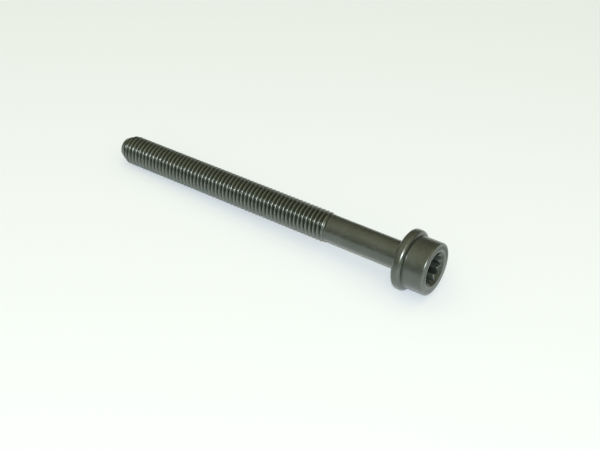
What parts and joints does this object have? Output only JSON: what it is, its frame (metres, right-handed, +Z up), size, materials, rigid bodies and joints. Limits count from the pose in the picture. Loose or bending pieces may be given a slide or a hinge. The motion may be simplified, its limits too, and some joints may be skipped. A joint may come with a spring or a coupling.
{
  "type": "cylinder head bolt",
  "caption": "Long dark steel bolt with a rolled thread, plain shank, round flange and cylindrical head, driven by a splined socket. Clamps a cylinder head to an engine block.",
  "frame": {"origin": "middle of the bounding box on the surface that the bolt lies on", "axes": "+X from the threaded point towards the head, level, +Z up; the bolt's own axis rises 2.59 degrees towards the head, because it rests on its flange and its thread"},
  "size_m": [0.1238, 0.0198, 0.0198],
  "materials": {
    "phosphated_steel": "dark grey-green phosphate with a thin film of oil, satin"
  },
  "bodies": {
    "root": {"head_bolt": "phosphated_steel"}
  },
  "joints": []
}
